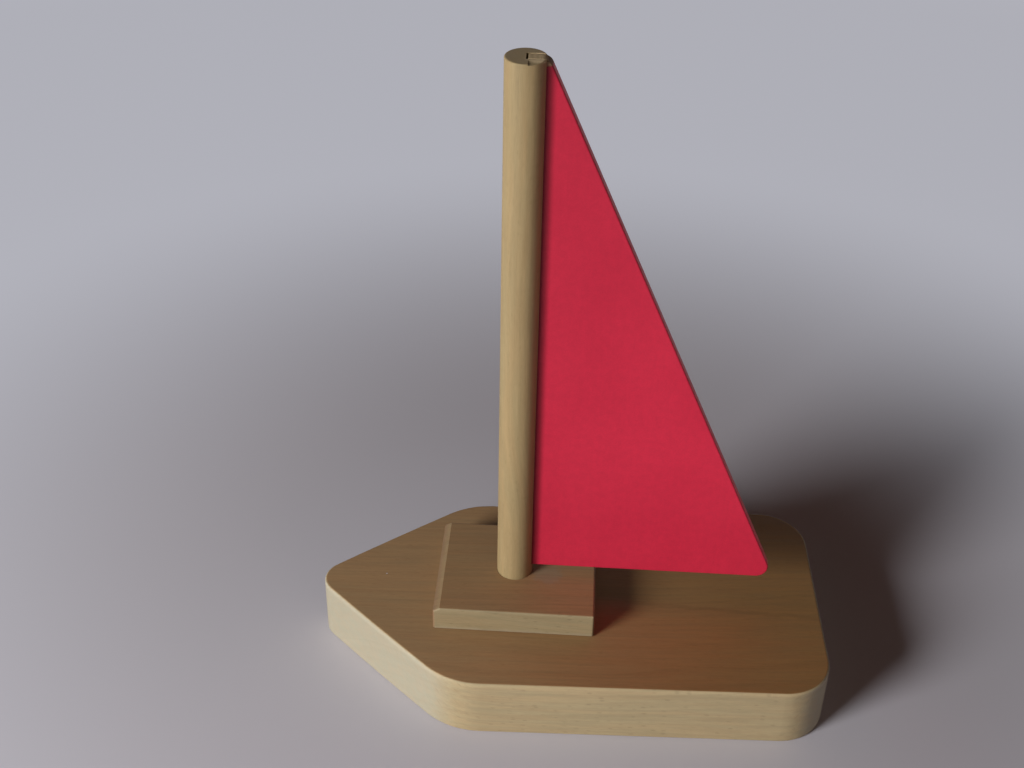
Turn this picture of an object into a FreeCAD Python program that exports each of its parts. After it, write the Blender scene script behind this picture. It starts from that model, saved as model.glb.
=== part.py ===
import FreeCAD, Part
import math
import os

# A wooden toy sailboat: a flat board hull, a plate on its deck that holds a round mast, and a thin
# board sail glued into a groove down the mast's aft side.
# Millimetres. +X runs from bow to stern, +Y to starboard and +Z up the mast. The origin is the centre
# of the hull's underside.

# Hull, with lengths measured aft from the sharp corner that the bow has before it is rounded
HULL_LENGTH = 147.7
HULL_WIDTH = 75.4
HULL_THICKNESS = 19.0
PORT_SHOULDER_REACH = 42.1
STARBOARD_SHOULDER_REACH = 44.1
BOW_TIP_TO_STARBOARD = 3.7
BOW_SIDE_BULGE = 0.35
BOW_TIP_RADIUS = 7.0
SHOULDER_RADIUS = 22.0
STERN_CORNER_RADIUS = 13.5
HULL_ARRIS = 0.7

# Rig: the mast's place on the hull, and the small turn that plate and sail were glued with
MAST_FROM_BOW = 59.3
MAST_TO_STARBOARD = 0.9
RIG_TURN_DEG = -1.8

# Mast
MAST_DIAMETER = 10.2
MAST_LENGTH = 175.0
MAST_ARRIS = 0.4
MAST_CLEARANCE = 0.1
SOCKET_FLOOR = 8.8

# Chip broken from the port side of the mast's head, beside the groove
CHIP_START = 0.6
CHIP_LENGTH = 3.4
CHIP_DEPTH = 0.3
CHIP_REACH = 2.6

# Mast step, the plate glued on the deck
STEP_LENGTH = 45.4
STEP_WIDTH = 37.2
STEP_THICKNESS = 7.8
STEP_AFT_OF_MAST = 0.7
STEP_ARRIS = 0.6
STEP_BEVEL_LENGTH = 1.9
STEP_BEVEL_DEPTH = 0.9

# Sail
SAIL_THICKNESS = 3.4
SAIL_CLEARANCE = 0.1
SAIL_FOOT_ABOVE_STEP = 3.1
SAIL_FOOT_REACH = 74.0
SAIL_HEAD_REACH = 5.6
SAIL_NOSE_GAP = 0.5
CLEW_RADIUS = 3.4
HEAD_CORNER_RADIUS = 2.5
SAIL_ARRIS = 0.45

# Heights that follow from the sizes above
STEP_TOP = HULL_THICKNESS + STEP_THICKNESS
MAST_TOP = SOCKET_FLOOR + MAST_LENGTH
SAIL_FOOT = STEP_TOP + SAIL_FOOT_ABOVE_STEP

UP = FreeCAD.Vector(0, 0, 1)


def point(x, y, z=0.0):
    return FreeCAD.Vector(x, y, z)


def is_along(edge, direction):
    """Whether an edge is a straight line along the given direction."""
    if edge.Curve.TypeId != "Part::GeomLine":
        return False
    return abs(abs(edge.Curve.Direction.dot(direction)) - 1.0) < 1e-6


def corner_edge(solid, place):
    """The upright edge of a solid that stands at the given place in plan."""
    uprights = [edge for edge in solid.Edges if is_along(edge, UP)]
    return min(uprights, key=lambda edge: math.hypot(edge.CenterOfMass.x - place.x,
                                                     edge.CenterOfMass.y - place.y))


def bulged_side(start, end):
    """A bow side: a flat arc that stands out from the straight line by the bulge."""
    along = end - start
    outward = point(along.y, -along.x)
    outward.normalize()
    middle = (start + end) * 0.5 + outward * BOW_SIDE_BULGE
    return Part.Arc(start, middle, end).toShape()


def mast_hole(bottom, top):
    """The round hole that the mast stands in, on the mast's axis."""
    radius = MAST_DIAMETER / 2 + MAST_CLEARANCE
    return Part.makeCylinder(radius, top - bottom, point(0, 0, bottom))


def place_rig(shape):
    """Turns a shape built about the mast's axis and carries it to the mast's place on the hull."""
    placed = shape.copy()
    placed.rotate(point(0, 0), UP, RIG_TURN_DEG)
    placed.translate(point(MAST_FROM_BOW, MAST_TO_STARBOARD))
    return placed


def make_hull():
    """The hull board, with a rounded outline, softened arrises and the mast's blind socket."""
    half_width = HULL_WIDTH / 2
    apex = point(0, BOW_TIP_TO_STARBOARD)
    port_shoulder = point(PORT_SHOULDER_REACH, -half_width)
    port_corner = point(HULL_LENGTH, -half_width)
    starboard_corner = point(HULL_LENGTH, half_width)
    starboard_shoulder = point(STARBOARD_SHOULDER_REACH, half_width)
    outline = Part.Wire([
        bulged_side(apex, port_shoulder),
        Part.makeLine(port_shoulder, port_corner),
        Part.makeLine(port_corner, starboard_corner),
        Part.makeLine(starboard_corner, starboard_shoulder),
        bulged_side(starboard_shoulder, apex),
    ])
    board = Part.Face(outline).extrude(UP * HULL_THICKNESS)
    corners = [
        (apex, BOW_TIP_RADIUS),
        (port_shoulder, SHOULDER_RADIUS),
        (starboard_shoulder, SHOULDER_RADIUS),
        (port_corner, STERN_CORNER_RADIUS),
        (starboard_corner, STERN_CORNER_RADIUS),
    ]
    for corner, radius in corners:
        board = board.makeFillet(radius, [corner_edge(board, corner)])
    arrises = [edge for edge in board.Edges if not is_along(edge, UP)]
    board = board.makeFillet(HULL_ARRIS, arrises)
    return board.cut(place_rig(mast_hole(SOCKET_FLOOR, HULL_THICKNESS + HULL_ARRIS)))


def make_step():
    """The plate on the deck: bevelled along its bow end, soft along its other edges, and bored."""
    bow_end = STEP_AFT_OF_MAST - STEP_LENGTH / 2
    stern_end = STEP_AFT_OF_MAST + STEP_LENGTH / 2
    port_side = -STEP_WIDTH / 2
    profile = Part.makePolygon([
        point(bow_end, port_side, HULL_THICKNESS),
        point(stern_end, port_side, HULL_THICKNESS),
        point(stern_end, port_side, STEP_TOP),
        point(bow_end + STEP_BEVEL_LENGTH, port_side, STEP_TOP),
        point(bow_end, port_side, STEP_TOP - STEP_BEVEL_DEPTH),
        point(bow_end, port_side, HULL_THICKNESS),
    ])
    plate = Part.Face(profile).extrude(point(0, STEP_WIDTH))
    bevel_edges = [edge for edge in plate.Edges
                   if is_along(edge, point(0, 1)) and edge.CenterOfMass.x < STEP_AFT_OF_MAST
                   and edge.CenterOfMass.z > HULL_THICKNESS]
    soft = [edge for edge in plate.Edges if not any(edge.isSame(sharp) for sharp in bevel_edges)]
    plate = plate.makeFillet(STEP_ARRIS, soft)
    return place_rig(plate.cut(mast_hole(HULL_THICKNESS, STEP_TOP)))


def make_mast():
    """The dowel, with the sail's groove open at the head and a chip out of the head's port side."""
    radius = MAST_DIAMETER / 2
    dowel = Part.makeCylinder(radius, MAST_LENGTH, point(0, 0, SOCKET_FLOOR))
    ends = [edge for edge in dowel.Edges if not is_along(edge, UP)]
    dowel = dowel.makeFillet(MAST_ARRIS, ends)
    groove_width = SAIL_THICKNESS + 2 * SAIL_CLEARANCE
    groove = Part.makeBox(radius, groove_width, MAST_TOP - SAIL_FOOT, point(0, -groove_width / 2, SAIL_FOOT))
    chip_profile = Part.makePolygon([
        point(CHIP_START, -radius, MAST_TOP - CHIP_DEPTH),
        point(CHIP_START, CHIP_REACH - radius, MAST_TOP),
        point(CHIP_START, -radius, MAST_TOP),
        point(CHIP_START, -radius, MAST_TOP - CHIP_DEPTH),
    ])
    chip = Part.Face(chip_profile).extrude(point(CHIP_LENGTH, 0))
    return place_rig(dowel.cut(groove).cut(chip))


def make_sail():
    """The sail board: a tall triangle with its luff in the mast's groove and its head flush with it."""
    port_face = -SAIL_THICKNESS / 2
    outline = Part.makePolygon([
        point(SAIL_NOSE_GAP, port_face, SAIL_FOOT),
        point(SAIL_FOOT_REACH, port_face, SAIL_FOOT),
        point(SAIL_HEAD_REACH, port_face, MAST_TOP),
        point(SAIL_NOSE_GAP, port_face, MAST_TOP),
        point(SAIL_NOSE_GAP, port_face, SAIL_FOOT),
    ])
    board = Part.Face(outline).extrude(point(0, SAIL_THICKNESS))
    across = [edge for edge in board.Edges if is_along(edge, point(0, 1))]
    clew = max(across, key=lambda edge: edge.CenterOfMass.x)
    board = board.makeFillet(CLEW_RADIUS, [clew])
    across = [edge for edge in board.Edges if is_along(edge, point(0, 1))]
    head_corner = max(across, key=lambda edge: (round(edge.CenterOfMass.z, 3), edge.CenterOfMass.x))
    board = board.makeFillet(HEAD_CORNER_RADIUS, [head_corner])
    arrises = [edge for edge in board.Edges if not is_along(edge, point(0, 1))]
    return place_rig(board.makeFillet(SAIL_ARRIS, arrises))


def main():
    pieces = {
        "hull": make_hull(),
        "mast_step": make_step(),
        "mast": make_mast(),
        "sail": make_sail(),
    }
    plan = pieces["hull"].optimalBoundingBox()
    to_origin = point(-(plan.XMin + plan.XMax) / 2, -(plan.YMin + plan.YMax) / 2)
    os.makedirs("parts", exist_ok=True)
    for name, shape in pieces.items():
        shape.translate(to_origin)
        if len(shape.Solids) != 1 or not shape.isValid():
            raise ValueError(name + " is not one valid solid")
        shape.Solids[0].exportStep(os.path.join("parts", name + ".step"))


main()
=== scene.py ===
import math

import bpy
from mathutils import Matrix, Vector


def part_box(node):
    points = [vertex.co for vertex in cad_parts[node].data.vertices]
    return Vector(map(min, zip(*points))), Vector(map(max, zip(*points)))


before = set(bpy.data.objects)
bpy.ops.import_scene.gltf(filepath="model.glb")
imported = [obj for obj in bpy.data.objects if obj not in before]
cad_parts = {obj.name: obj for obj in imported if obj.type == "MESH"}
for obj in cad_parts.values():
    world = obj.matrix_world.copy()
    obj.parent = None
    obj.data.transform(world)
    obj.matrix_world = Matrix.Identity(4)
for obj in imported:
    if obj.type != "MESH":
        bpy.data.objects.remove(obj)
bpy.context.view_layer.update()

# Everything below is in metres, in the part's own frame: +X from bow to stern, +Y to starboard, +Z up.
MM = 0.001

# Camera, at the photograph's viewpoint
CAMERA_PLACE = Vector((-12.1, -312.6, 314.9)) * MM
CAMERA_YAW_DEG = -1.09
CAMERA_PITCH_DEG = -35.40
CAMERA_ROLL_DEG = 1.08
FOCAL_LENGTH = 51.2
SENSOR_WIDTH = 36.0

# Light: a soft window-like lamp low at the front left, and weak warm fill from the front and from behind
KEY_TRAVEL_DEG = 40.0
KEY_HEIGHT_DEG = 18.0
KEY_AIM_DEG = 48.0
KEY_DISTANCE = 0.90
KEY_SIZE = 0.34
KEY_LEVEL = 1.08
KEY_COLOUR = (1.0, 1.0, 1.0)
FRONT_TRAVEL_DEG = 118.0
FRONT_HEIGHT_DEG = 8.0
FRONT_DISTANCE = 0.9
FRONT_SIZE = 0.5
FRONT_LEVEL = 0.08
FRONT_COLOUR = (1.0, 0.80, 0.68)
BACK_TRAVEL_DEG = 255.0
BACK_HEIGHT_DEG = 6.0
BACK_DISTANCE = 1.1
BACK_SIZE = 0.4
BACK_LEVEL = 0.04
BACK_COLOUR = (1.0, 0.70, 0.56)
WORLD_LEVEL = 0.026
WORLD_COLOUR = (1.0, 0.52, 0.38)
BACKDROP = (0.48, 0.485, 0.54)
FLOOR_COLOUR = (0.61, 0.59, 0.64)
FLOOR_SIZE = 12.0

# The floor takes on the backdrop's tone in two steps: distances from the boat, and the share of the tone
FLOOR_FADE = (0.10, 0.32)
FLOOR_FADE_SHARE = 0.85
FLOOR_END = (0.55, 0.80)
FLOOR_END_SHARE = 0.15

# Rig: the mast's box, the sail's turn about it, and the sail's thickness and the mast's top in millimetres
MAST_LOW, MAST_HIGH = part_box("mast")
MAST_AXIS = (MAST_LOW + MAST_HIGH) / 2
RIG_TURN_DEG = -1.8
SAIL_THICKNESS = 3.4
MAST_TOP = MAST_HIGH.z / MM

# How far the grain of the wood wanders, in millimetres
GRAIN_DRIFT = 9.0

# How dark the rays of the wood are on its flat sides
FLAT_FLECK = 0.07

# Sheen and bump of bare wood and of paint, with each bump's depth in metres
WOOD_SPECULAR = 0.25
WOOD_BUMP = 0.3
WOOD_BUMP_DEPTH = 0.00006
PAINT_SPECULAR = 0.2
PAINT_BUMP = 0.4
PAINT_BUMP_DEPTH = 0.00012

# Colours of the wood, in linear light. On the hull and the plate the flat sides are drawn darker and warmer
# than the upright ones, which is painted shade for light that comes in low; on the flat sides the colour also
# gets darker from bow to stern
HULL_COLOURS_AND_SHADE = {"upright": (0.415, 0.325, 0.186, 1), "end": (0.405, 0.36, 0.26, 1),
                "flat_bow": (0.352, 0.220, 0.107, 1), "flat_stern": (0.245, 0.131, 0.0435, 1)}
STEP_COLOURS_AND_SHADE = {"upright": (0.31, 0.242, 0.135, 1), "end": (0.28, 0.19, 0.105, 1),
                "flat_bow": (0.305, 0.186, 0.087, 1), "flat_stern": (0.285, 0.167, 0.082, 1)}
MAST_END_COLOUR = (0.38, 0.285, 0.145, 1)
MAST_COLOURS = {"upright": (0.34, 0.248, 0.122, 1), "end": MAST_END_COLOUR,
                "flat_bow": MAST_END_COLOUR, "flat_stern": MAST_END_COLOUR}
PINK_TINT = (1.022, 0.993, 0.978, 1)
OLIVE_TINT = (0.982, 1.005, 1.015, 1)

# Colours of the marks on the wood
WHITE_PAINT = (0.6, 0.6, 0.62, 1)
GLUE_SMEAR = (0.27, 0.195, 0.12, 1)
GLUE_LINE = (0.35, 0.285, 0.195, 1)
RUBBED_BEVEL = (0.255, 0.15, 0.082, 1)
# Painted reflection: red light from the sail, drawn on the mast's aft side
PAINTED_RED_REFLECTION = (0.36, 0.115, 0.065, 1)
BROKEN_WOOD = (0.72, 0.56, 0.33, 1)

# Colours of the sail, where a pair goes from dark to light
FULL_PAINT = (0.51, 0.019, 0.048, 1), (0.55, 0.022, 0.053, 1)
# Painted light: the cut edges' paint is drawn lighter than the faces' for light they don't get
LIT_EDGE_PAINT = (0.84, 0.11, 0.14, 1), (0.94, 0.21, 0.24, 1)
BARE_WOOD = (0.60, 0.46, 0.26, 1), (0.74, 0.57, 0.34, 1)
# Painted shade of the mast: dark brown on the sail just below the mast's top
PAINTED_HEAD_SHADE = (0.21, 0.13, 0.075, 1)

# Places and half sizes of the spots, in millimetres
WHITE_FLECK_PLACE = (-54.1, 5.1, 19.0)
WHITE_FLECK_RADII = (0.28, 0.22, 0.4)
SMEAR_PLACE = (-6.6, -1.8, 26.8)
SMEAR_RADII = (5.2, 4.6, 3.0)
BREAK_PLACE = (-13.4, 0.2, 183.8)
BREAK_RADII = (3.6, 3.7, 0.9)

# How far below the mast's top the sail's painted shade and its bare end begin and are whole, in millimetres
HEAD_SHADE_DEPTHS = (1.9, 1.2)
BARE_DEPTHS = (0.4, 0.15)


class Shader:
    """Short forms for building the nodes of one material."""

    def __init__(self, name):
        self.material = bpy.data.materials.new(name)
        self.material.use_nodes = True
        self.tree = self.material.node_tree
        self.tree.nodes.clear()
        self.surface = self.tree.nodes.new("ShaderNodeBsdfPrincipled")
        output = self.tree.nodes.new("ShaderNodeOutputMaterial")
        self.tree.links.new(self.surface.outputs["BSDF"], output.inputs["Surface"])

    def put(self, value, socket):
        """Joins a node's output to a socket, or writes a constant on it."""
        if isinstance(value, bpy.types.NodeSocket):
            self.tree.links.new(value, socket)
        else:
            socket.default_value = value

    def node(self, kind, inputs, **settings):
        made = self.tree.nodes.new(kind)
        for key, value in settings.items():
            setattr(made, key, value)
        for key, value in inputs.items():
            self.put(value, made.inputs[key])
        return made

    def math(self, operation, *values):
        return self.node("ShaderNodeMath", dict(enumerate(values)), operation=operation).outputs[0]

    def split(self, vector):
        made = self.node("ShaderNodeSeparateXYZ", {0: vector})
        return made.outputs[0], made.outputs[1], made.outputs[2]

    def join(self, x, y, z):
        return self.node("ShaderNodeCombineXYZ", {0: x, 1: y, 2: z}).outputs[0]

    def noise(self, vector, scale=1.0, detail=2.0, roughness=0.5):
        inputs = {"Vector": vector, "Scale": scale, "Detail": detail, "Roughness": roughness}
        return self.node("ShaderNodeTexNoise", inputs).outputs["Fac"]

    def step(self, value, low, high, to_low=0.0, to_high=1.0):
        """A smooth step from to_low to to_high as value goes from low to high."""
        inputs = {"Value": value, "From Min": low, "From Max": high, "To Min": to_low, "To Max": to_high}
        return self.node("ShaderNodeMapRange", inputs, interpolation_type="SMOOTHSTEP").outputs["Result"]

    def mix(self, factor, a, b):
        made = self.node("ShaderNodeMixRGB", {"Fac": factor, "Color1": a, "Color2": b})
        return made.outputs["Color"]

    def scale_colour(self, colour, factor):
        """A colour times a grey factor."""
        made = self.node("ShaderNodeVectorMath", {0: colour}, operation="SCALE")
        self.put(factor, made.inputs["Scale"])
        return made.outputs[0]

    def position(self):
        """The place on the part in millimetres, which is fixed to the part."""
        place = self.node("ShaderNodeTexCoord", {}).outputs["Object"]
        per_metre = (1 / MM,) * 3
        return self.node("ShaderNodeVectorMath", {0: place, 1: per_metre}, operation="MULTIPLY").outputs[0]

    def normal(self):
        """The surface's own direction, before any bump."""
        return self.node("ShaderNodeTexCoord", {}).outputs["Normal"]


def grain_space(shader, grain, pith, seed):
    """Places a point in its tree: millimetres along the grain, around the pith and out from it."""
    x, y, z = shader.split(shader.position())
    along, side, rise = (x, y, z) if grain == "X" else (z, x, y)
    slow = shader.join(shader.math("MULTIPLY_ADD", along, 0.011, seed),
                       shader.math("MULTIPLY", side, 0.02), shader.math("MULTIPLY", rise, 0.02))
    drift = shader.node("ShaderNodeTexNoise", {"Vector": slow, "Scale": 1.0, "Detail": 1.0}).outputs["Color"]
    drift_side, drift_rise, _ = shader.split(drift)
    side = shader.math("MULTIPLY_ADD", shader.math("SUBTRACT", drift_side, 0.5), GRAIN_DRIFT, side)
    rise = shader.math("MULTIPLY_ADD", shader.math("SUBTRACT", drift_rise, 0.5), GRAIN_DRIFT, rise)
    from_side = shader.math("SUBTRACT", side, pith[0])
    from_rise = shader.math("SUBTRACT", rise, pith[1])
    out = shader.math("SQRT", shader.math("ADD", shader.math("MULTIPLY", from_side, from_side),
                                          shader.math("MULTIPLY", from_rise, from_rise)))
    angle = shader.math("ARCTAN2", from_rise, from_side)
    around = shader.math("MULTIPLY", angle, math.hypot(*pith))
    return along, around, out


def spot(shader, centre, radii, ragged):
    """A patch with an uneven rim around a place on the part in millimetres: 1 inside and 0 outside."""
    place = shader.position()
    offset = shader.node("ShaderNodeVectorMath", {0: place, 1: centre}, operation="SUBTRACT").outputs[0]
    unit = shader.node("ShaderNodeVectorMath", {0: offset, 1: radii}, operation="DIVIDE").outputs[0]
    distance = shader.node("ShaderNodeVectorMath", {0: unit}, operation="LENGTH").outputs["Value"]
    rim = shader.noise(place, 0.7, 3.0, 0.6)
    distance = shader.math("MULTIPLY_ADD", shader.math("SUBTRACT", rim, 0.5), ragged, distance)
    return shader.step(distance, 0.55, 1.0, 1.0, 0.0)


def deck_marks(shader, colour):
    """The hull's sides, rubbed paler along the deck, a darker growth line across the deck's stern half, and a
    fleck of white paint on its bow."""
    x, y, z = shader.split(shader.position())
    _, _, normal_z = shader.split(shader.normal())
    off_deck = shader.step(normal_z, 0.75, 0.92, 1.0, 0.0)
    rubbed = shader.math("MULTIPLY", off_deck, shader.step(z, 16.9, 18.5))
    rubbed_gain = 0.14
    colour = shader.scale_colour(colour, shader.math("MULTIPLY_ADD", rubbed, rubbed_gain, 1.0))
    waver = shader.noise(shader.join(shader.math("MULTIPLY", x, 0.09), 0.0, 0.0), 1.0, 2.0)
    line_y = shader.math("MULTIPLY_ADD", x, -0.07, shader.math("MULTIPLY_ADD", waver, 3.0, -4.4))
    off_line = shader.math("ABSOLUTE", shader.math("SUBTRACT", y, line_y))
    line = shader.math("MULTIPLY", shader.step(off_line, 0.2, 1.2, 1.0, 0.0), shader.step(x, 10.0, 35.0))
    line = shader.math("MULTIPLY", line, shader.step(z, 17.5, 18.8))
    line_gain = -0.13
    colour = shader.scale_colour(colour, shader.math("MULTIPLY_ADD", line, line_gain, 1.0))
    return shader.mix(spot(shader, WHITE_FLECK_PLACE, WHITE_FLECK_RADII, 0.3), colour, WHITE_PAINT)


def glue_marks(shader, colour):
    """Dried glue, which greys the plate's top beside the mast's foot and its sides along the deck, and the
    plate's bow bevel, rubbed darker towards its foot."""
    smear = spot(shader, SMEAR_PLACE, SMEAR_RADII, 0.9)
    colour = shader.mix(shader.math("MULTIPLY", smear, 0.7), colour, GLUE_SMEAR)
    _, _, z = shader.split(shader.position())
    ragged = shader.math("MULTIPLY_ADD", shader.noise(shader.position(), 0.35, 2.0), 1.6, z)
    line = shader.step(ragged, 20.0, 21.4, 0.6, 0.0)
    colour = shader.mix(line, colour, GLUE_LINE)
    normal_x, _, _ = shader.split(shader.normal())
    foot = shader.step(z, 25.9, 26.6, 0.7, 0.0)
    bow_side = shader.step(normal_x, -0.35, -0.2, 1.0, 0.0)
    rubbed = shader.math("MULTIPLY", foot, bow_side)
    return shader.mix(rubbed, colour, RUBBED_BEVEL)


def mast_marks(shader, colour):
    """A painted reflection of the red sail, drawn as a darker red on the mast's aft side, and pale broken
    wood and filler around the groove on its head."""
    x, _, _ = shader.split(shader.position())
    aft = shader.math("SUBTRACT", x, MAST_AXIS.x / MM)
    # Painted reflection of the red sail on the mast's aft side
    colour = shader.mix(shader.step(aft, 2.6, 5.0, 0.0, 0.5), colour, PAINTED_RED_REFLECTION)
    broken = spot(shader, BREAK_PLACE, BREAK_RADII, 0.5)
    return shader.mix(broken, colour, BROKEN_WOOD)


def beech(name, grain, pith, seed, ring, fleck, colours, marks):
    """Sanded beech: annual rings, fibre streaks, ray flecks and a tone that differs between its sides; on the
    hull and the plate the darker flat sides are painted shade. fleck is how dark the rays are on upright
    sides.
    colours names the upright sides, the flat sides at bow and stern, and the end grain. marks adds what is
    peculiar to one piece."""
    shader = Shader(name)
    along, around, out = grain_space(shader, grain, pith, seed)

    # Annual rings: each goes from light early wood to a thin darker line
    ring_phase = shader.math("DIVIDE", out, ring)
    waver = shader.noise(shader.join(shader.math("MULTIPLY", along, 0.015), ring_phase, seed), 1.0, 1.0)
    ring_phase = shader.math("MULTIPLY_ADD", waver, 1.6, ring_phase)
    ring_place = shader.math("FRACT", ring_phase)
    late_wood = shader.math("SUBTRACT", shader.step(ring_place, 0.35, 0.9), shader.step(ring_place, 0.9, 1.0))
    ring_number = shader.math("FLOOR", ring_phase)
    ring_noise = shader.node("ShaderNodeTexWhiteNoise", {"W": ring_number}, noise_dimensions="1D")
    ring_strength = ring_noise.outputs["Value"]
    rings = shader.math("MULTIPLY", late_wood, shader.step(ring_strength, 0.0, 1.0, 0.25, 1.0))

    # Fibre streaks, long along the grain and fine across it
    streak_space = shader.join(shader.math("MULTIPLY", along, 0.04), shader.math("MULTIPLY", around, 1.1),
                               shader.math("MULTIPLY", out, 1.1))
    streaks = shader.noise(streak_space, 1.0, 4.0, 0.65)
    fibre_space = shader.join(shader.math("MULTIPLY", along, 0.4), shader.math("MULTIPLY", around, 5.0),
                              shader.math("MULTIPLY", out, 5.0))
    fibres = shader.noise(fibre_space, 1.0, 3.0, 0.6)

    # Bands that lean towards pink or olive
    tint_space = shader.join(shader.math("MULTIPLY", along, 0.03), shader.math("MULTIPLY", around, 0.45),
                             shader.math("MULTIPLY", out, 0.45))
    tint = shader.mix(shader.step(shader.noise(tint_space, 1.0, 3.0, 0.6), 0.35, 0.65), PINK_TINT, OLIVE_TINT)

    # Rays: thin ribbons that run outwards, which show as short dark dashes on a face
    ray_space = shader.join(shader.math("MULTIPLY", along, 1 / 3.0),
                            shader.math("MULTIPLY", around, 1 / 0.62), shader.math("MULTIPLY", out, 1 / 9.0))
    ray_cells = shader.node("ShaderNodeTexVoronoi", {"Vector": ray_space, "Scale": 1.0, "Randomness": 1.0})
    ray_choice = shader.split(ray_cells.outputs["Color"])[0]
    ray_shape = shader.step(ray_cells.outputs["Distance"], 0.10, 0.34, 1.0, 0.0)
    rays = shader.math("MULTIPLY", ray_shape, shader.step(ray_choice, 0.2, 0.9))

    # Broad patches of tone
    broad_space = shader.join(shader.math("MULTIPLY", along, 0.018), shader.math("MULTIPLY", around, 0.05),
                              shader.math("MULTIPLY", out, 0.05))
    broad = shader.noise(broad_space, 1.0, 2.0)

    # Which side of the wood this is, and its colour there; the darker flat sides of the hull and the plate
    # are painted shade
    normal_x, _, normal_z = shader.split(shader.normal())
    flat = shader.step(shader.math("ABSOLUTE", normal_z), 0.82, 0.98)
    end_grain = shader.step(shader.math("ABSOLUTE", normal_x if grain == "X" else normal_z), 0.25, 0.75)
    place_x, _, _ = shader.split(shader.position())
    flat_colour = shader.mix(shader.step(place_x, -62.0, 70.0), colours["flat_bow"], colours["flat_stern"])
    colour = shader.mix(flat, shader.mix(end_grain, colours["upright"], colours["end"]), flat_colour)
    colour = shader.node("ShaderNodeVectorMath", {0: colour, 1: tint}, operation="MULTIPLY").outputs[0]
    colour = marks(shader, colour)

    ray_depth = shader.math("MULTIPLY", shader.mix(flat, (fleck,) * 3 + (1,), (FLAT_FLECK,) * 3 + (1,)),
                            shader.math("MULTIPLY_ADD", end_grain, -0.7, 1.0))
    tone = shader.math("MULTIPLY_ADD", rings, -0.07, 1.0)
    tone = shader.math("MULTIPLY", tone, shader.step(streaks, 0.3, 0.7, 0.93, 1.06))
    tone = shader.math("MULTIPLY", tone, shader.step(fibres, 0.25, 0.75, 0.95, 1.05))
    tone = shader.math("MULTIPLY", tone, shader.step(broad, 0.3, 0.7, 0.97, 1.03))
    ray_tone = shader.math("SUBTRACT", 1.0, shader.math("MULTIPLY", rays, ray_depth))
    tone = shader.math("MULTIPLY", tone, ray_tone)
    contrast = shader.math("MULTIPLY_ADD", end_grain, -0.55, 1.0)
    tone = shader.math("MULTIPLY_ADD", shader.math("SUBTRACT", tone, 1.0), contrast, 1.0)
    shader.put(shader.scale_colour(colour, tone), shader.surface.inputs["Base Color"])

    roughness = shader.step(shader.math("MULTIPLY_ADD", rays, 0.3, streaks), 0.2, 0.9, 0.50, 0.68)
    shader.put(roughness, shader.surface.inputs["Roughness"])
    shader.surface.inputs["Specular IOR Level"].default_value = WOOD_SPECULAR
    height = shader.math("MULTIPLY_ADD", rays, -0.5, shader.math("MULTIPLY", fibres, 0.5))
    bump_inputs = {"Height": height, "Strength": WOOD_BUMP, "Distance": WOOD_BUMP_DEPTH}
    bump = shader.node("ShaderNodeBump", bump_inputs)
    shader.put(bump.outputs["Normal"], shader.surface.inputs["Normal"])
    return shader.material


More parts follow.
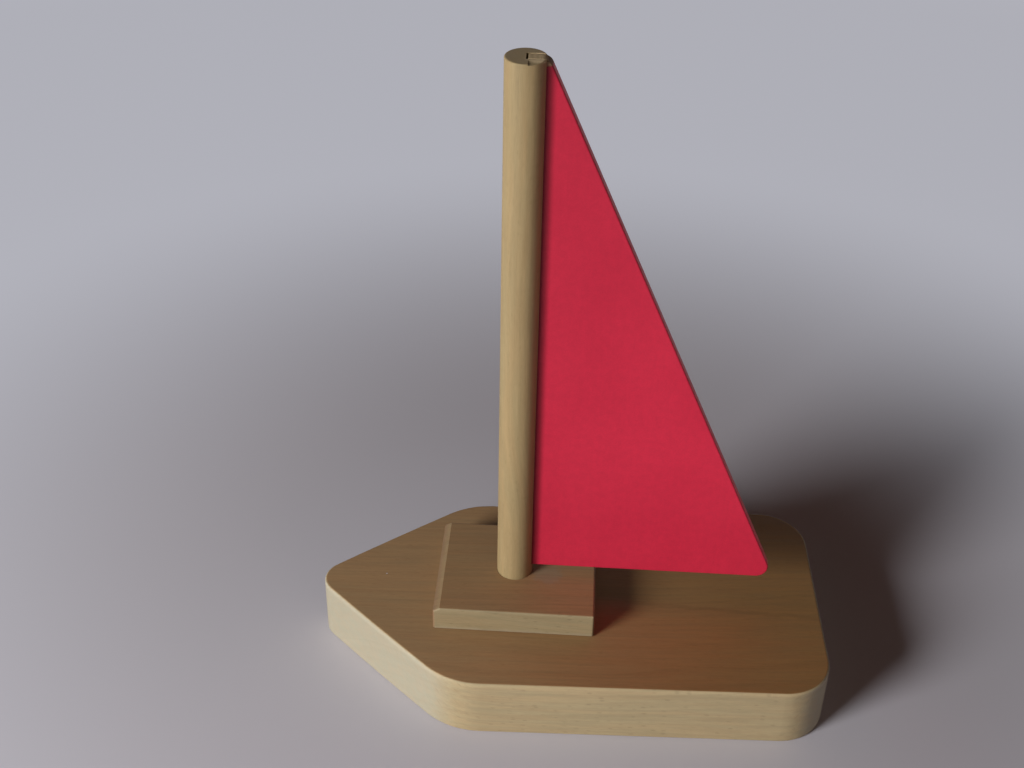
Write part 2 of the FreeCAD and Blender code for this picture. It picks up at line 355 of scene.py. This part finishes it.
def sail_paint():
    """Matte red paint on a board with a bare sawn end at its head. The cut edges are drawn lighter as painted
    light; the paint is drawn darker near the mast and towards the top, and brown below the head, as painted
    shade.
    """
    shader = Shader("sail_red")
    x, y, z = shader.split(shader.position())
    turn = math.radians(RIG_TURN_DEG)
    from_x = shader.math("SUBTRACT", x, MAST_AXIS.x / MM)
    from_y = shader.math("SUBTRACT", y, MAST_AXIS.y / MM)
    reach = shader.math("ADD", shader.math("MULTIPLY", from_x, math.cos(turn)),
                        shader.math("MULTIPLY", from_y, math.sin(turn)))
    depth = shader.math("SUBTRACT", shader.math("MULTIPLY", from_y, math.cos(turn)),
                        shader.math("MULTIPLY", from_x, math.sin(turn)))

    # Paint: fine orange-peel stipple, soft mottling, faint strokes and slow changes of tone, with painted
    # shade that darkens it near the mast, towards the top and in a strip beside the mast
    stipple = shader.noise(shader.join(reach, depth, z), 3.2, 3.0, 0.6)
    stroke_space = shader.join(shader.math("MULTIPLY", reach, 1.1), depth, shader.math("MULTIPLY", z, 0.06))
    strokes = shader.noise(stroke_space, 1.0, 3.0, 0.55)
    cloud = shader.noise(shader.join(reach, depth, z), 0.035, 2.0, 0.5)
    paint = shader.mix(shader.step(cloud, 0.3, 0.7), *FULL_PAINT)
    mottle = shader.noise(shader.join(reach, depth, z), 0.45, 3.0, 0.6)
    paint_tone_and_shade = shader.math("MULTIPLY", shader.step(stipple, 0.3, 0.7, 0.96, 1.04),
                             shader.step(strokes, 0.3, 0.7, 0.988, 1.012))
    paint_tone_and_shade = shader.math("MULTIPLY", paint_tone_and_shade, shader.step(mottle, 0.3, 0.7, 0.965, 1.035))
    # Painted shade: darker near the mast and towards the top
    paint_tone_and_shade = shader.math("MULTIPLY", paint_tone_and_shade, shader.step(reach, 0.0, 60.0, 0.93, 1.06))
    paint_tone_and_shade = shader.math("MULTIPLY", paint_tone_and_shade, shader.step(z, 70.0, 175.0, 1.06, 0.95))
    # Painted shadow of the mast: a dark strip on the sail beside the mast
    paint_tone_and_shade = shader.math("MULTIPLY", paint_tone_and_shade, shader.step(reach, 5.7, 7.7, 0.43, 1.0))
    paint = shader.scale_colour(paint, paint_tone_and_shade)

    # Cut edges: saw marks across the thickness under red paint drawn lighter, which is painted light; near
    # the bare head the sail is drawn dark brown, which is painted shade of the mast
    marks = shader.noise(shader.join(shader.math("MULTIPLY", reach, 1.4), shader.math("MULTIPLY", depth, 0.3),
                                     shader.math("MULTIPLY", z, 1.4)), 1.0, 3.0, 0.65)
    lit_edge_paint = shader.mix(shader.step(marks, 0.35, 0.65), *LIT_EDGE_PAINT)
    ragged = shader.noise(shader.join(reach, depth, z), 1.6, 2.0, 0.5)
    uneven = shader.math("SUBTRACT", ragged, 0.5)
    face_distance = shader.math("SUBTRACT", SAIL_THICKNESS / 2, shader.math("ABSOLUTE", depth))
    face_distance = shader.math("MULTIPLY_ADD", uneven, 0.3, face_distance)
    colour = shader.mix(shader.step(face_distance, 0.12, 0.45), paint, lit_edge_paint)
    # Painted shade: the sail just below the mast's top is drawn dark brown where the mast shades it
    head_shade = shader.step(shader.math("MULTIPLY_ADD", uneven, 1.2, z), *(MAST_TOP - d for d in HEAD_SHADE_DEPTHS))
    colour = shader.mix(head_shade, colour, PAINTED_HEAD_SHADE)
    bare = shader.step(z, *(MAST_TOP - d for d in BARE_DEPTHS))
    bare_wood = shader.mix(shader.step(marks, 0.3, 0.7), *BARE_WOOD)
    shader.put(shader.mix(bare, colour, bare_wood), shader.surface.inputs["Base Color"])

    painted = shader.math("SUBTRACT", 1.0, head_shade)
    shader.put(shader.step(painted, 0.0, 1.0, 0.75, 0.52), shader.surface.inputs["Roughness"])
    shader.surface.inputs["Specular IOR Level"].default_value = PAINT_SPECULAR
    rough_height = shader.math("MULTIPLY", marks, shader.math("SUBTRACT", 1.0, painted))
    height = shader.math("ADD", shader.math("MULTIPLY", stipple, 0.25), rough_height)
    bump_inputs = {"Height": height, "Strength": PAINT_BUMP, "Distance": PAINT_BUMP_DEPTH}
    bump = shader.node("ShaderNodeBump", bump_inputs)
    shader.put(bump.outputs["Normal"], shader.surface.inputs["Normal"])
    return shader.material


def dress(node, material):
    """Gives a CAD node its finish in every material slot."""
    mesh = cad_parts[node].data
    mesh.materials.clear()
    mesh.materials.append(material)


def downward(travel_deg, height_deg):
    """The direction of light that travels at travel_deg from +X towards +Y and comes down at height_deg."""
    travel, height = math.radians(travel_deg), math.radians(height_deg)
    level = math.cos(height)
    return Vector((math.cos(travel) * level, math.sin(travel) * level, -math.sin(height)))


def lamp(name, travel_deg, height_deg, distance, size, level, colour, aim_deg):
    """A soft round lamp. Its light reaches the boat from the given direction, and its face is turned down to
    aim_deg, so that the light weakens upwards. level is the brightness of a white surface facing it there."""
    direction = downward(travel_deg, height_deg)
    aim = downward(travel_deg, aim_deg)
    data = bpy.data.lights.new(name, "AREA")
    data.shape = "DISK"
    data.size = size
    data.color = colour
    data.energy = level * math.pi * math.pi * distance ** 2 / aim.dot(direction)
    lamp_object = bpy.data.objects.new(name, data)
    bpy.context.scene.collection.objects.link(lamp_object)
    target = Vector((0.0, 0.0, 0.04))
    lamp_object.location = target - direction * distance
    lamp_object.rotation_euler = aim.to_track_quat("-Z", "Y").to_euler()


def make_world():
    """Weak light from all round, and a pale backdrop where the camera or a reflection sees past the floor."""
    world = bpy.data.worlds.new("studio")
    bpy.context.scene.world = world
    world.use_nodes = True
    tree = world.node_tree
    tree.nodes.clear()
    light = tree.nodes.new("ShaderNodeBackground")
    light.inputs["Color"].default_value = (*WORLD_COLOUR, 1)
    light.inputs["Strength"].default_value = WORLD_LEVEL
    backdrop = tree.nodes.new("ShaderNodeBackground")
    backdrop.inputs["Color"].default_value = (*BACKDROP, 1)
    path = tree.nodes.new("ShaderNodeLightPath")
    seen = path.outputs["Is Camera Ray"]
    for kind in ("Is Glossy Ray", "Is Transmission Ray"):
        either = tree.nodes.new("ShaderNodeMath")
        tree.links.new(seen, either.inputs[0])
        tree.links.new(path.outputs[kind], either.inputs[1])
        seen = either.outputs[0]
    mix = tree.nodes.new("ShaderNodeMixShader")
    tree.links.new(seen, mix.inputs[0])
    tree.links.new(light.outputs[0], mix.inputs[1])
    tree.links.new(backdrop.outputs[0], mix.inputs[2])
    output = tree.nodes.new("ShaderNodeOutputWorld")
    tree.links.new(mix.outputs[0], output.inputs["Surface"])


def make_floor():
    """A plain pale floor under the hull, which takes the backdrop's even tone in the distance."""
    half = FLOOR_SIZE / 2
    mesh = bpy.data.meshes.new("floor")
    corners = [(-half, -half, 0), (half, -half, 0), (half, half, 0), (-half, half, 0)]
    mesh.from_pydata(corners, [], [(0, 1, 2, 3)])
    floor = bpy.data.objects.new("floor", mesh)
    bpy.context.scene.collection.objects.link(floor)
    shader = Shader("floor")
    shader.surface.inputs["Base Color"].default_value = (*FLOOR_COLOUR, 1)
    shader.surface.inputs["Roughness"].default_value = 0.9
    shader.surface.inputs["Specular IOR Level"].default_value = 0.1
    tree = shader.tree
    path = tree.nodes.new("ShaderNodeLightPath")
    seen = shader.math("ADD", path.outputs["Is Camera Ray"], path.outputs["Is Glossy Ray"])
    seen = shader.math("ADD", seen, path.outputs["Is Transmission Ray"])
    place = shader.node("ShaderNodeTexCoord", {}).outputs["Object"]
    away = shader.node("ShaderNodeVectorMath", {0: place}, operation="LENGTH").outputs["Value"]
    fade = shader.step(away, *FLOOR_FADE, 0.0, FLOOR_FADE_SHARE)
    faded = shader.math("ADD", fade, shader.step(away, *FLOOR_END, 0.0, FLOOR_END_SHARE))
    distant = shader.math("MULTIPLY", seen, faded)
    glow = shader.node("ShaderNodeEmission", {"Color": (*BACKDROP, 1), "Strength": 1.0})
    blend = shader.node("ShaderNodeMixShader", {0: distant, 1: shader.surface.outputs[0], 2: glow.outputs[0]})
    output = next(node for node in tree.nodes if node.type == "OUTPUT_MATERIAL")
    tree.links.new(blend.outputs[0], output.inputs["Surface"])
    mesh.materials.append(shader.material)


def make_camera():
    """The camera at the photograph's viewpoint: yaw from +Y, pitch from level and roll about its own axis."""
    yaw, pitch, roll = (math.radians(a) for a in (CAMERA_YAW_DEG, CAMERA_PITCH_DEG, CAMERA_ROLL_DEG))
    ahead = Vector((math.sin(yaw) * math.cos(pitch), math.cos(yaw) * math.cos(pitch), math.sin(pitch)))
    level_right = Vector((math.cos(yaw), -math.sin(yaw), 0.0))
    level_up = level_right.cross(ahead)
    right = math.cos(roll) * level_right + math.sin(roll) * level_up
    up = -math.sin(roll) * level_right + math.cos(roll) * level_up
    data = bpy.data.cameras.new("camera")
    data.sensor_width = SENSOR_WIDTH
    data.lens = FOCAL_LENGTH
    data.clip_start = 0.01
    data.clip_end = 50.0
    camera = bpy.data.objects.new("camera", data)
    bpy.context.scene.collection.objects.link(camera)
    camera.matrix_world = Matrix((right, up, -ahead)).transposed().to_4x4()
    camera.location = CAMERA_PLACE
    bpy.context.scene.camera = camera


def main():
    bpy.context.scene.view_settings.view_transform = "Standard"
    dress("hull", beech("hull_wood", grain="X", pith=(-74.0, -66.0), seed=3.0, ring=2.6, fleck=0.15,
                        colours=HULL_COLOURS_AND_SHADE, marks=deck_marks))
    dress("mast_step", beech("step_wood", grain="X", pith=(52.0, -48.0), seed=17.0, ring=2.0, fleck=0.15,
                             colours=STEP_COLOURS_AND_SHADE, marks=glue_marks))
    dress("mast", beech("mast_wood", grain="Z", pith=(60.0, 44.0), seed=29.0, ring=1.8, fleck=0.06,
                        colours=MAST_COLOURS, marks=mast_marks))
    dress("sail", sail_paint())
    make_floor()
    make_world()
    lamp("key", KEY_TRAVEL_DEG, KEY_HEIGHT_DEG, KEY_DISTANCE, KEY_SIZE, KEY_LEVEL, KEY_COLOUR, KEY_AIM_DEG)
    lamp("front", FRONT_TRAVEL_DEG, FRONT_HEIGHT_DEG, FRONT_DISTANCE, FRONT_SIZE, FRONT_LEVEL, FRONT_COLOUR,
         FRONT_HEIGHT_DEG)
    lamp("back", BACK_TRAVEL_DEG, BACK_HEIGHT_DEG, BACK_DISTANCE, BACK_SIZE, BACK_LEVEL, BACK_COLOUR,
         BACK_HEIGHT_DEG)
    make_camera()


main()
